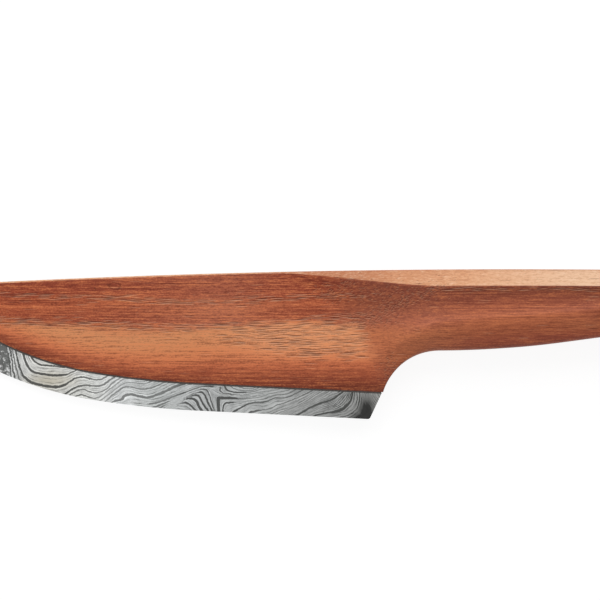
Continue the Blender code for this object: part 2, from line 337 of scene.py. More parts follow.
def makeWoodBody():
    under = undersidePoints()
    x, low = under[:, 0], under[:, 1]
    top = crownY(x)
    height = top - low
    tipX = inward(crossing(outline["stripWidth"]), outline["stripWidth"])[0]
    taper = mix(1, wood["tipTaper"], np.clip(x / tipX, 0, 1))
    full = through([(outline["notchEnd"][0], wood["neckHalf"]), (outline["waist"][0], wood["waistHalf"]),
                    (outline["handleLength"], wood["buttHalf"])], x)
    ridge = low + np.minimum(through(wood["ridgeRise"], x), 0.4 * height)
    arris = top - np.minimum(mix(wood["spineDrop"], wood["handleDrop"], swell(x, top)), 0.3 * height)
    blade = halfSection(low, ridge, arris, top,
                        (wood["lipHalf"] + 0 * x, np.maximum(wood["ridgeHalf"] * taper, wood["lipHalf"]),
                         wood["spineHalf"] * taper, wood["spineCrestHalf"] * taper),
                        wood["bladeCorners"], wood["bladeHollow"] * taper)
    handle = halfSection(low, ridge, arris, top,
                         (wood["bellyHalf"] + 0 * x, full, full - wood["arrisInset"],
                          wood["crestHalf"] + 0 * x),
                         wood["handleCorners"], wood["handleHollow"])
    y = mix(blade[..., 0], handle[..., 0], swell(x[:, None], blade[..., 0]))
    z = mix(blade[..., 1], handle[..., 1], swell(x[:, None], y))
    half = np.stack([x[:, None] + 0 * y, y, z], axis=-1)
    rings = np.concatenate([half, half[:, -2:0:-1] * np.array([1, 1, -1])], axis=1)
    middle = np.array([0, (top[-1] + low[-1]) / 2, 0])
    butt = rings[-1]
    for turn in np.radians([22.5, 45, 67.5, 90]):  # the butt's edge is eased round
        inset = wood["buttChamfer"] * (1 - cos(turn))
        keep = 1 - inset / np.array([1e9, (top[-1] - low[-1]) / 2, wood["buttHalf"]])
        ring = (butt - middle) * keep + middle
        ring[:, 0] = x[-1] + wood["buttChamfer"] * sin(turn)
        rings = np.concatenate([rings, ring[None]], axis=0)
    place = sectionPlace()
    place = np.concatenate([place, place[-2:0:-1]])
    atX, atY = rings[..., 0] / mm, rings[..., 1] / mm
    lip = np.maximum(np.concatenate([low, low[-1:].repeat(4)]) / mm, 2.2)[:, None]
    return skin("wood_body_shaped", rings, {
        "across": np.broadcast_to(place, atX.shape),
        "rise": (atY - lip) * (1 + 0.45 * smooth(-atX, 45, 90)),
        "pale": paleWood(atX, atY),
        "pores": poreShare(atX, atY),
        "flecks": fleckShare(atX, atY),
    })


woodPiece = makeWoodBody()
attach(woodPiece, "root")
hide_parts("wood_body")
print("wooden body shaped:", len(woodPiece.data.polygons), "faces")


# The cutting strip: pattern-welded steel, ground flat to the edge and etched.
strip = {
    "shoulderHalf": 1.35 * mm,
    "edgeHalf": 0.1 * mm,
    "bevelWidth": 1.1 * mm,
    "bevelHalf": 0.3 * mm,
    "heelRound": 0.6 * mm,
    "tipBlunt": 0.6 * mm,
    "shoulderEase": 0.12 * mm,
    # steps round the heel, along the strip and over its tip, and down its rounded edge and its flank
    "heelSteps": 34,
    "lengthSteps": 380,
    "tipSteps": 24,
    "roundSteps": 6,
    "flankSteps": 20,
    # the folded layers that the etch shows, in mm from the wood's heel corner:
    # the layer's number, how deep the etch bites it, and points along it; a bite of 0.05 only guides the
    # layers beside it
    "layers": [
        (21, 0.8, [(-157, 34), (-157.5, 29), (-155, 24)]),
        (17, 1.0, [(-150, 30), (-149.5, 25), (-146, 19), (-142, 16)]),
        (14, 0.7, [(-144, 26.5), (-143, 21), (-139.5, 16), (-136.5, 12.5)]),
        (11, 1.0, [(-137, 23), (-136.3, 18), (-133.6, 12), (-131, 9)]),
        (9, 0.8, [(-132, 20), (-131, 15), (-129.6, 10.5), (-128.4, 7)]),
        (8, 0.4, [(-129.2, 17.8), (-128.5, 13.6), (-127.6, 9.8), (-126.8, 6.6)]),
        (7, 0.5, [(-127.2, 16.8), (-126.6, 13.4), (-125.9, 9.6), (-125.3, 6)]),
        (6, 0.9, [(-125.7, 16), (-125.1, 13.5), (-124.5, 10), (-124, 5.6)]),
        (5, 0.9, [(-124.7, 15.6), (-124.1, 13.4), (-123.6, 10), (-122.9, 5.2)]),
        (4, 0.8, [(-123.8, 15.1), (-123.2, 12.6), (-122.6, 9.4), (-121.4, 4.6)]),
        (3, 1.1, [(-122.5, 14.6), (-121.9, 11.4), (-121, 8), (-119.9, 5.3)]),
        (3, 1.6, [(-119.9, 5.3), (-117, 3.2), (-112, 2), (-108, 1.8), (-105.6, 2.7)]),
        (3, 0.9, [(-105.6, 2.7), (-102.4, 4.7), (-100, 5), (-98.1, 4.6), (-95.5, 4.1), (-93.5, 4.5),
            (-91.6, 5.5)]),
        (2, 1.3, [(-120, 13.4), (-119.3, 10.6), (-118.2, 8.4), (-116.4, 6.7), (-112, 5.8), (-108.4, 5.6),
            (-105.8, 5.8)]),
        (2, 0.8, [(-105.8, 5.8), (-104, 6.5), (-102, 7.4)]),
        (1, 1.1, [(-117.4, 12.4), (-116.2, 10.4), (-114, 9.2), (-109.8, 8.8), (-106.8, 8.4)]),
        (0.82, 0.3, [(-115.5, 11.2), (-113, 10), (-110, 9.25), (-108, 8.8)]),
        (4, 1.0, [(-105.5, -0.3), (-103.6, 1), (-101, 2.1), (-98.4, 2.3), (-95.8, 2), (-93.4, 2.4),
            (-91.2, 3.9), (-89.6, 5)]),
        (5, 0.8, [(-104, -0.6), (-102.1, 0.4), (-99.9, 0.9), (-97.3, 0), (-95.1, -0.2), (-92, 1.2),
            (-90.1, 3.1), (-88, 4.4)]),
        (6, 0.7, [(-95.8, -2), (-94.2, -1.4), (-91.6, 0.6), (-89.7, 2), (-87.1, 4)]),
        (7, 0.7, [(-93.2, -2), (-91, -0.4), (-88.6, 1.4), (-86.4, 2.9), (-84, 3.2), (-80, 2.8)]),
        (8, 0.85, [(-90.6, -1.3), (-88.6, 0.1), (-86.8, 1.4), (-85.2, 1.8), (-83.4, 1.6), (-81.2, 1.1),
            (-79, 1.1), (-77, 1.5), (-75.2, 2.2), (-73.1, 3.2)]),
        (9, 1.45, [(-88.2, -2.7), (-87, -2.3), (-86.5, -1.5), (-85.2, -0.9), (-83.4, -0.8),
            (-81.6, -1.3), (-79.7, -1.7), (-77.9, -1.7), (-76, -1.1), (-73.8, -0.3), (-71.6, 0.7),
            (-69.4, 1.8), (-65.8, 3)]),
        (10, 0.2, [(-86, -4.4), (-82, -4.6), (-78.3, -4)]),
        (10, 1.0, [(-78.3, -4), (-75.2, -3.4), (-72.3, -2.4), (-69, -1.1), (-65.8, 0)]),
        (9.5, 0.05, [(-67, 1.2), (-65, 1.8), (-62.6, 2.4)]),
        (10, 0.75, [(-65.8, 0), (-63.2, 1), (-60.8, 1.75), (-59.4, 1.9)]),
        (10, 0.95, [(-59.4, 1.9), (-58.2, 1.95), (-56, 1.85)]),
        (10, 0.2, [(-56, 1.9), (-54.8, 1.6)]),
        (10, 0.8, [(-54.2, 1.6), (-54.4, 0.5), (-53.4, -0.3), (-52, -0.5), (-50, -0.8)]),
        (10, 0.5, [(-50, -0.8), (-46, -0.9), (-41, 0.1)]),
        (9, 0.9, [(-52.7, 2.3), (-52.2, 0.9), (-49.6, 0), (-46, -0.1)]),
        (8, 0.6, [(-51.1, 2.1), (-49.6, 1.2), (-47, 0.6), (-43.6, 0.6), (-42, 1.2)]),
        (10.5, 0.1, [(-55.7, -6.3), (-55.9, -4.5), (-56.2, -2.5), (-56.6, -0.9), (-55.2, -0.6),
            (-52, -1.2)]),
        (11, 0.05, [(-70, -2.6), (-67.4, -1.6), (-65, -0.5)]),
        (11, 0.45, [(-65, -0.5), (-63, 0.3), (-61.4, 0.8)]),
        (11, 0.8, [(-61.4, 0.8), (-60.2, 1), (-59.1, 0.9), (-58.4, 0.1), (-57.7, -1.5), (-57, -3.7),
            (-56.3, -6)]),
        (12, 0.05, [(-70, -3.4), (-67.4, -2.4), (-65, -1.2)]),
        (12, 0.55, [(-65, -1.2), (-63.2, -0.5), (-61.6, -0.1)]),
        (12, 1.1, [(-61.6, -0.1), (-60.7, 0), (-59.7, -0.6), (-58.9, -2.2), (-58, -4.3), (-57.1, -6)]),
        (13, 0.05, [(-70, -4.1), (-68, -3.2), (-66.2, -2)]),
        (13, 0.55, [(-66.2, -2), (-64.6, -1.4), (-63.4, -1.1)]),
        (13, 1.2, [(-63.4, -1.1), (-62.4, -1), (-61.3, -1.4), (-60.5, -2.9), (-59.7, -4.4),
            (-58.6, -5.9)]),
        (14, 0.05, [(-71, -4.8), (-69.4, -4), (-67.6, -3)]),
        (14, 0.7, [(-67.6, -3), (-66.3, -2.5), (-65.2, -2.2)]),
        (14, 1.5, [(-65.2, -2.2), (-64.2, -2.1), (-63.2, -2.3), (-62.2, -3.1), (-61.4, -4.8),
            (-60.6, -5.9)]),
        (15, 0.6, [(-68.4, -4), (-66.8, -3.6)]),
        (15, 1.1, [(-66.8, -3.6), (-65.8, -3.5), (-64.4, -4.2), (-63, -5.6)]),
        (16, 0.5, [(-67.6, -4.7), (-65.8, -4.7), (-64.6, -5.4)]),
        (11, 2.8, [(-54.9, -6.3), (-55, -4.3), (-54.9, -2), (-53.6, -1.8)]),
        (11, 2.3, [(-53.6, -1.8), (-51.4, -1.9)]),
        (11, 1.5, [(-51.4, -1.9), (-49, -2.1)]),
        (11, 0.7, [(-49, -2.1), (-47.2, -2.2), (-45, -2.2)]),
        (11, 0.5, [(-45, -2.2), (-42.8, -1.9), (-40.6, -1.5), (-38.8, -0.8), (-36, -0.2), (-32.5, 0.4)]),
        (12, 0.9, [(-53.4, -6.2), (-53.3, -4.8), (-52.5, -3.7), (-49.4, -3.4)]),
        (12, 0.4, [(-49.4, -3.4), (-45.8, -3.1), (-41.5, -2.5)]),
        (13, 1.0, [(-49.6, -6.4), (-47.6, -5.3), (-45.4, -4.1), (-43.3, -3.5), (-40.3, -3.4),
            (-38.4, -3)]),
        (13, 0.75, [(-38.4, -3), (-36.2, -2), (-34, -1.9), (-32, -1.7), (-29.6, -0.7), (-27.3, 0.5)]),
        (14, 1.3, [(-44, -6.7), (-41.6, -6.1)]),
        (14, 0.65, [(-41.6, -6.1), (-38, -5.6), (-35.8, -4.5), (-32.4, -3.4), (-28.2, -1.7),
            (-24.2, 0.2)]),
        (15, 0.45, [(-35.2, -7.1), (-32, -5.9), (-28.3, -4.4), (-25.2, -2.7), (-22, -0.6), (-20, 0.4)]),
        (16, 0.2, [(-32, -7.3), (-29.1, -6), (-26.2, -4.7), (-23.3, -3.3), (-20.3, -1.8), (-16.7, 0.3)]),
        (17, 1.1, [(-28.6, -7.6), (-26.2, -6.3), (-24, -5), (-21.4, -3.9), (-18.6, -3), (-16.5, -2.1),
            (-13.3, 0.2)]),
        (18, 0.35, [(-26.6, -7.7), (-24.1, -6.6), (-21.7, -5.6), (-19.1, -4.7), (-16.6, -3.7),
            (-14.8, -2.1), (-12.3, 0.2)]),
        (19, 0.45, [(-24.7, -7.7), (-22, -6.8), (-19.3, -6.2), (-16.9, -5.4), (-14.7, -4.4), (-13, -2.8),
            (-11.2, 0.2)]),
        (20, 1.0, [(-22.7, -7.8), (-20, -7.1), (-17, -6.7)]),
        (20, 1.7, [(-17, -6.7), (-14.6, -6.2), (-12.7, -5.1), (-11.3, -3.6)]),
        (20, 1.0, [(-11.3, -3.6), (-10.5, -2), (-10.2, 0.2)]),
        (20.7, 0.7, [(-22, -8.6), (-16, -7.9), (-12.6, -7.2), (-10.4, -6), (-9.2, -4.6), (-8.6, -2.5),
            (-8.6, 0)]),
        (21.4, 0.8, [(-10.6, -8.3), (-8.3, -6.8), (-7.3, -4.4), (-6.9, -0.4)]),
        (22.3, 0.5, [(-5.6, 0.2), (-5.3, -1.2), (-4.4, -3.2), (-2.9, -5.2)]),
        (23.2, 0.4, [(-4.2, 0.2), (-3.6, -1.2), (-2.6, -2.8), (-1.5, -4)]),
    ],
    "layerStep": 0.7,
    "layerLoosen": 0.02,
    "biteReach": 0.02,
}


def stripLines():  # edge and shoulder points, from the heel to the tip
    reach = outline["stripWidth"] - outline["bondGap"]
    fan = 2 * outline["heelRake"]
    lean = outline["heelRake"] - outline["heelSetback"]
    lines = []
    for share in np.linspace(0, 1, strip["heelSteps"])[:-1]:
        lines.append((edgeAt(share * fan)[:2], inward(share * fan - lean * (1 - share), reach)))
    meeting = crossing(reach)
    tip = crossing(0)
    for s in np.linspace(fan, meeting, strip["lengthSteps"]):
        lines.append((edgeAt(s)[:2], inward(s, reach)))
    topX, tipX = lines[-1][1][0], edgeAt(tip)[0]
    for share in np.linspace(0, 1, strip["tipSteps"])[1:]:
        blunt = strip["tipBlunt"] * share
        x = mix(topX, tipX + blunt, share)
        lines.append((edgeAt(mix(meeting, tip, share) - blunt)[:2], (x, crownY(x))))
    return np.array(lines)


def layerMap():  # a smooth height over the flank that takes each layer's number along its line
    points, numbers, bites = [], [], []
    for number, bite, path in strip["layers"]:
        path = np.array(path, float)
        path = np.vstack([2 * path[0] - path[1], path, 2 * path[-1] - path[-2]])
        for a, b, c, d in zip(path, path[1:], path[2:], path[3:]):
            steps = max(1, int(np.linalg.norm(c - b) / strip["layerStep"]))
            for t in np.linspace(0, 1, steps, endpoint=False):
                bend = 2 * a - 5 * b + 4 * c - d + t * (3 * (b - c) + d - a)
                points.append(b + t / 2 * (c - a + t * bend))
        points.append(path[-2])
        numbers += [number] * (len(points) - len(numbers))
        bites += [bite] * (len(points) - len(bites))
    points, numbers, bites = np.array(points), np.array(numbers, float), np.array(bites)

    def spread(at):
        gap = ((at[:, None] - points[None]) ** 2).sum(axis=-1)
        return gap, 0.5 * gap * np.log(gap + 1e-6)

    size = len(points)
    frameOf = np.column_stack([np.ones(size), points])
    system = np.block([[spread(points)[1] + strip["layerLoosen"] * np.eye(size), frameOf],
                       [frameOf.T, np.zeros((3, 3))]])
    pulls = np.linalg.solve(system, np.concatenate([numbers, np.zeros(3)]))

    def layerAt(at):
        gap, bend = spread(at)
        number = bend @ pulls[:size] + np.column_stack([np.ones(len(at)), at]) @ pulls[size:]
        near = 1 / (gap + strip["biteReach"]) ** 3
        return number, (near @ bites) / near.sum(axis=1)

    return layerAt


def makeStrip():
    lines = stripLines()
    edge, shoulder = lines[:, 0], lines[:, 1]
    across = shoulder - edge
    length = np.linalg.norm(across, axis=1)
    widest = length.max()
    flankEnd = widest - strip["shoulderEase"]
    rounded = np.linspace(0, strip["heelRound"], strip["roundSteps"])[:-1]
    flank = np.linspace(strip["heelRound"], flankEnd, strip["flankSteps"])
    depths = np.concatenate([rounded, flank, [widest]]) / widest
    along = np.concatenate([[0], np.cumsum(np.linalg.norm(np.diff(edge, axis=0), axis=1))])
    fade = np.clip(1 - along / (2.5 * outline["heelRake"]), 0, 1)[:, None]
    full = mix(strip["bevelHalf"], strip["shoulderHalf"], np.minimum(1, length / widest))
    bevel = np.minimum(strip["bevelWidth"], 0.4 * length)
    rows = []
    for depth in depths:
        sink = max(0.0, 1 - depth * widest / strip["heelRound"])
        shift = strip["heelRound"] * (1 - (1 - sink**2) ** 0.5)
        place = edge + across * depth + np.array([-shift, 0]) * fade
        d = depth * length
        upFlank = np.clip((d - bevel) / np.maximum(length - bevel, 1e-6), 0, 1)
        z = np.where(d < bevel, mix(strip["edgeHalf"], strip["bevelHalf"], d / bevel),
                     mix(strip["bevelHalf"], full, upFlank))
        rows.append(np.column_stack([place, z - (strip["shoulderEase"] if depth == 1 else 0)]))
    half = np.stack(rows, axis=1)
    rings = np.concatenate([half, half[:, ::-1] * np.array([1, 1, -1])], axis=1)[::-1]
    at = rings[..., :2].reshape(-1, 2) / mm
    layerAt = layerMap()
    number, bite = layerAt(at)
    nudge = 0.05
    slopeX = (layerAt(at + [nudge, 0])[0] - number) / nudge
    slopeY = (layerAt(at + [0, nudge])[0] - number) / nudge
    return skin("cutting_strip_ground", rings, {
        "layer": number, "pace": np.hypot(slopeX, slopeY), "bite": bite,
    })


stripPiece = makeStrip()
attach(stripPiece, "root")
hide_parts("cutting_strip")
print("cutting strip ground:", len(stripPiece.data.polygons), "faces")


# The adhesive: the dark line between wood and steel.
bond = {"recess": 0.08 * mm, "overlap": 0.25 * mm, "setBack": 0.15 * mm, "tipDrop": 0.5 * mm, "steps": 220}


def makeBondLine():
    reach = outline["stripWidth"]
    z = wood["lipHalf"] - bond["recess"]
    rings = []
    start = outline["heelSetback"] - outline["heelRake"] + bond["setBack"]
    for s in np.linspace(start, crossing(reach, below=bond["tipDrop"]), bond["steps"]):
        lowX, lowY = inward(s, reach - outline["bondGap"] - bond["overlap"])
        highX, highY = inward(s, reach + bond["overlap"])
        rings.append([(lowX, lowY, z), (highX, highY, z), (highX, highY, -z), (lowX, lowY, -z)])
    return skin("bond_line", rings, {})


bondPiece = makeBondLine()
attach(bondPiece, "root")
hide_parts("adhesive_bed")
print("bond line laid")


def addNode(tree, kind, inputs=(), stops=(), **settings):
    # a tuple of inputs fills the sockets in order: for MapRange the value, its ends and the results there
    node = tree.nodes.new("ShaderNode" + kind)
    for key, value in settings.items():
        setattr(node, key, value)
    for number, (place, colour) in enumerate(stops):
        if number == 0:
            node.color_ramp.elements.remove(node.color_ramp.elements[1])
        element = node.color_ramp.elements[0] if number == 0 else node.color_ramp.elements.new(place)
        element.position = place
        element.color = linear(colour) if isinstance(colour, str) else (colour, colour, colour, 1)
    for key, value in (enumerate(inputs) if isinstance(inputs, tuple) else inputs.items()):
        if isinstance(value, bpy.types.Node):
            value = value.outputs[2 if value.type == "MIX" else 0]
        if isinstance(value, bpy.types.NodeSocket):
            tree.links.new(value, node.inputs[key])
        else:
            node.inputs[key].default_value = value
    return node


def startNodes(owner):  # empties a material's or a world's nodes and hands back addNode for them
    owner.use_nodes = True
    owner.node_tree.nodes.clear()
    return partial(addNode, owner.node_tree)


def startMaterial(name):  # an empty material, addNode for it and the place on the knife in millimetres
    material = bpy.data.materials.new(name)
    node = startNodes(material)
    place = node("TexCoord").outputs["Object"]
    fromHeel = node("VectorMath", (place, heelCorner), operation="SUBTRACT")
    inMm = node("VectorMath", {0: fromHeel, "Scale": 1 / mm}, operation="SCALE")
    return material, node, inMm


def awayFrom(node, inMm, centre, stretch, turn=0.0):  # 0 at a centre on the flank, 1 on the oval round it
    at = node("VectorMath", (inMm, (*centre, 0)), operation="SUBTRACT")
    if turn:
        at = node("VectorRotate", {"Vector": at, "Angle": turn}, rotation_type="Z_AXIS")
    at = node("VectorMath", (at, (*stretch, 0)), operation="MULTIPLY")
    return node("VectorMath", {0: at}, operation="LENGTH").outputs["Value"]


hardwood = {
    # each noise: how many of its patterns fit in a millimetre along x, y and z, and its other settings
    "noises": {
        "wander": ((0.02, 0.08, 0.08), {"Detail": 4.0, "Roughness": 0.6}),
        "wave": ((0.05, 0.06, 0.06), {"Detail": 0.5}),
        "fringe": ((0.12, 0.9, 0.9), {"Detail": 4.0, "Roughness": 0.65}),
        "arcs": ((0, 0.16, 0.55), {"Detail": 3.0, "Roughness": 0.6}),
        "uneven": ((0.7, 0.7, 0.7), {"Detail": 2.0}),
        # fibre lines 0.4 mm thick, some 30 mm long and some 4 mm, under a grit of cut fibre ends
        "hairs": ((0.03, 2.2, 1.2), {"Detail": 1.0}),
        "short": ((0.26, 2.5, 1.6), {"Detail": 1.0}),
        "grit": ((1.5, 3.2, 2.4), {"Detail": 1.0}),
        "curl": ((0.7, 1.7, 1.2), {"Detail": 3.0, "Roughness": 0.65, "Distortion": 0.6}),
    },
    # each zone: the two ends of its own measure, and its tones between them
    "zones": {
        "dark": (18.0, 42.0, [
            (0.0, "#bb6a49"), (0.16, "#b26144"), (0.27, "#a95a3f"), (0.35, "#b05f41"), (0.45, "#b96645"),
            (0.53, "#b15f40"), (0.63, "#a6543a"), (0.74, "#9d4e36"), (0.84, "#a4543a"), (1.0, "#9b4d36")]),
        "deepening": (-130.0, 0.0, [
            (0.08, 0.98), (0.15, 0.84), (0.3, 0.7), (0.4, 0.46), (0.46, 0.33), (0.54, 0.12), (0.62, 0.1),
            (0.7, 0.46), (0.84, 0.9), (0.95, 0.6)]),
        # the pale zone darkens toward the lip, partly the wood's own tone and partly painted shade where
        # the flank rolls down to the steel
        "pale": (-1.0, 23.0, [
            (0.0, "#743522"), (0.1, "#90452d"), (0.2, "#a75437"), (0.33, "#c96e48"), (0.46, "#d57d51"),
            (0.6, "#d98a5b"), (0.78, "#d99061"), (1.0, "#d3875b")]),
        "swell": (0.0, 40.0, [
            (0.02, "#7a3e2b"), (0.12, "#924a34"), (0.2, "#a3573c"), (0.3, "#b16443"), (0.4, "#bc6d49"),
            (0.5, "#c3734d"), (0.58, "#b0644a"), (0.66, "#9c563f"), (0.73, "#914d37"), (0.85, "#8b4834")]),
        # across the handle's section, lightest on the soft ridge and darkest just under the arris and at
        # the belly: partly the wood's own tone, partly painted highlight and painted shade of the ridge,
        # the hollow flank and the bevel
        "handle": (0.0, 2.0, [
            (0.1, "#904532"), (0.3, "#a4523a"), (0.42, "#b45f3f"), (0.52, "#b96845"), (0.6, "#ad5f41"),
            (0.68, "#9f543a"), (0.77, "#934c36"), (0.88, "#8a4732"), (0.96, "#85442f"),
            (0.99, "#74382a")]),
        # the facet beside the spine is paler than the flank, and palest on the handle: partly the wood's
        # own tone, partly painted light and sheen from the window above it
        "facet": (-90.0, 90.0, [
            (0.0, "#cf936a"), (0.25, "#cd9168"), (0.36, "#b97551"), (0.46, "#b97853"), (0.53, "#ca8c64"),
            (0.65, "#d59c74"), (0.85, "#e0b694")]),
    },
    # the knot and the two slanting nicks beside it: centre, stretch
    "knot": ((-89.4, 35.3), (0.4, 0.7)),
    "nicks": [((-91.5, 35.5), (0.75, 2.6)), ((-95.9, 34.5), (1.4, 2.8))],
    "nickTurn": radians(68),
}


def zoneTones(node, axes, across, rise, drift):  # the wood's tones, zone by zone
    grainY = node("Math", (axes["Y"], drift), operation="ADD")
    riseHere = node("Math", (rise, drift), operation="ADD")
    # the painted bright band along the handle's ridge sinks toward its belly near the butt
    sink = node("MapRange", (axes["X"], 56.0, 74.0, 0.0, 0.28))
    toArris = node("Math", (2.0, across), operation="SUBTRACT")
    sink = node("Math", (sink, toArris), operation="MULTIPLY")
    sunk = node("Math", (sink, across, across), operation="MULTIPLY_ADD")
    tones = {}
    for zone, at in (("dark", grainY), ("deepening", axes["X"]), ("pale", riseHere), ("swell", grainY),
                     ("handle", sunk), ("facet", axes["X"])):
        low, high, stops = hardwood["zones"][zone]
        at = node("MapRange", (at, low, high))
        tones[zone] = node("ValToRGB", {0: at}, stops)
    deepen = node("MapRange", (tones["deepening"], 0.0, 1.0, 0.88, 1.18))
    tones["dark"] = node("Gamma", {"Color": tones["dark"], "Gamma": deepen})
    # the pale zone is lightest high up before the swell, and from there back the facet's top edge is brown
    lift = node("MapRange", (riseHere, 7.64, 13.4, 0.0, 0.5))
    lift = node("MapRange", (axes["X"], -62.0, -38.0, 0.0, lift))
    crest = node("MapRange", (across, 2.55, 2.85, 0.0, 0.7))
    crest = node("MapRange", (axes["X"], -60.0, -35.0, 0.0, crest))
    for zone, share, colour in (("pale", lift, "#f5a574"), ("facet", crest, "#a9603a")):
        tones[zone] = node("Mix", {0: share, 6: tones[zone], 7: linear(colour)}, data_type="RGBA")
    return tones


def knotDepth(node, inMm, uneven):  # a faint knot no bigger than a lentil, its ring of fibres uneven
    away = awayFrom(node, inMm, *hardwood["knot"])
    away = node("Math", (uneven, 0.6, away), operation="MULTIPLY_ADD")
    toRing = node("Math", (away, 1.1), operation="SUBTRACT")
    toRing = node("Math", {0: toRing}, operation="ABSOLUTE")
    knot = node("MapRange", (toRing, 0.2, 0.04, 0.0, 0.55))
    for centre, stretch in hardwood["nicks"]:
        away = awayFrom(node, inMm, centre, stretch, turn=hardwood["nickTurn"])
        nick = node("MapRange", (away, 1.0, 0.3, 0.0, 0.6))
        knot = node("Math", (knot, nick), operation="MAXIMUM")
    return knot


def cutFibres(node, axes, wave, pores, flecks):  # open dashes of two kinds, each with a painted highlight beside it
    # pores are vessels, dashes up to 5 mm long and 0.2 mm thick, and flecks are the fibres' ends on the
    # swell, 1 mm long and leaning; a painted highlight lies 0.3 mm below each dash, where the pit's wall
    # would face the window
    wavy = node("Math", (wave, 1.8, axes["Y"]), operation="MULTIPLY_ADD")
    grainAt = node("CombineXYZ", (axes["X"], wavy, axes["Z"]))
    depths = []
    for perMm, lean, glintAway, share, opensAt, fullDepth in (
            ((0.17, 4.8, 1.2), 0.0, 1.45, pores, 0.85, 1.0),
            ((0.8, 3.6, 1.6), radians(16), 1.1, flecks, 0.86, 0.7)):
        leanAt = node("VectorRotate", {"Vector": grainAt, "Angle": -lean}, rotation_type="Z_AXIS")
        for away in (0, glintAway):
            at = node("VectorMath", (leanAt, perMm, (0, away, 0)), operation="MULTIPLY_ADD")
            cell = node("TexVoronoi", {"Vector": at, "Scale": 1.0})
            isOpen = node("Math", (cell.outputs["Color"], share), operation="ADD")
            isOpen = node("MapRange", (isOpen, opensAt, opensAt + 0.14, 0.0, fullDepth))
            depths.append(node("MapRange", (cell, 0.47, 0.3, 0.0, isOpen)))
    return depths


def endGrain(node, inMm, axes, arcs):  # the butt's share, its tone and its cut vessels
    # darker, with the vessels as dots 0.3 mm wide between arcs of late wood
    onButt = node("MapRange", (axes["X"], 148.8, 149.6))
    endTone = node("ValToRGB", {0: arcs}, [
        (0.36, "#6f3a29"), (0.46, "#8c4c36"), (0.53, "#7b4230"), (0.62, "#95553c")])
    dotAt = node("VectorMath", (inMm, (0, 1.5, 1.5)), operation="MULTIPLY")
    dots = node("TexVoronoi", {"Vector": dotAt, "Scale": 1.0})
    return onButt, endTone, node("MapRange", (dots, 0.3, 0.16, 0.0, onButt))


def fibreLines(node, axes, noises, inPale, swellEdge, onHandle, onFacet):  # the dark and the light ones
    # on the swell and the facet they stand end on, so they show as a curly mottle instead
    streak = node("Math", (noises["short"], noises["hairs"]), operation="ADD")
    streak = node("Math", (noises["grit"], 0.8, streak), operation="MULTIPLY_ADD")
    onBlade = node("Math", (1.0, onHandle), operation="SUBTRACT")
    onSwell = node("Math", (swellEdge, onBlade), operation="MULTIPLY")
    offFacet = node("Math", (0.6, onFacet), operation="SUBTRACT", use_clamp=True)
    curly = node("MapRange", (axes["Y"], 20.0, 27.0, 0.15, 1.0))
    for share in (offFacet, onSwell):
        curly = node("Math", (curly, share), operation="MULTIPLY")
    curly = node("Math", (onFacet, 0.55, curly), operation="MULTIPLY_ADD")
    toCurl = node("Math", (noises["curl"], 2.8), operation="MULTIPLY")
    toCurl = node("Math", (toCurl, streak), operation="SUBTRACT")
    streak = node("Math", (toCurl, curly, streak), operation="MULTIPLY_ADD")
    calmer = node("Math", (inPale, 0.5), operation="MULTIPLY")
    for share in (onHandle, onSwell):
        calmer = node("Math", (calmer, share), operation="MAXIMUM")
    depth = node("MapRange", (calmer, 0.0, 1.0, 0.95, 0.62))
    lightShare = node("MapRange", (onFacet, 0.0, 1.0, 0.7, 0.595))
    fibres = []
    # on the facet both kinds of fibre are paler, to go with its painted light
    for fullAt, share, colour, facetColour in ((1.0, 0.75, "#581c0e", "#a0603c"),
                                               (1.8, lightShare, "#e88a56", "#f0d3b6")):
        share = node("MapRange", (streak, 1.4, fullAt, 0.0, share))
        share = node("Math", (share, depth), operation="MULTIPLY")
        colour = node("Mix", {0: onFacet, 6: linear(colour), 7: linear(facetColour)}, data_type="RGBA")
        fibres.append((share, colour))
    return fibres


